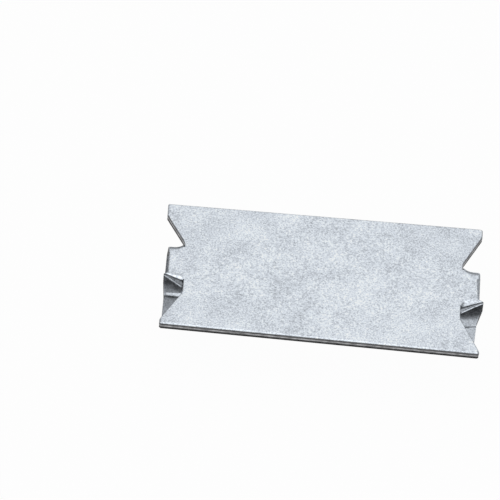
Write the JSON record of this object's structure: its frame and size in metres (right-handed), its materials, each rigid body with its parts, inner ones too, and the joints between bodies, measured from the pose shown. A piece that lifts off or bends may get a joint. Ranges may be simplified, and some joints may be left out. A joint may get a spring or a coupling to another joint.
{
  "type": "prong nail plate",
  "caption": "Pressed galvanised steel nail plate, a flat rectangle with prongs folded down from notches in its ends, driven onto the edge of a timber.",
  "frame": {"origin": "centre of the face that bears on the timber", "axes": "+X along the plate's length, +Y across its width, +Z out of the outer face that is struck, so the prongs point along -Z"},
  "size_m": [0.0698, 0.0382, 0.0126],
  "materials": {
    "zinc_sheet": "galvanised steel sheet with a fine mottled zinc bloom, dull on the broad faces and brighter where it was folded"
  },
  "bodies": {
    "root": {"nail_plate": "zinc_sheet"}
  },
  "joints": []
}
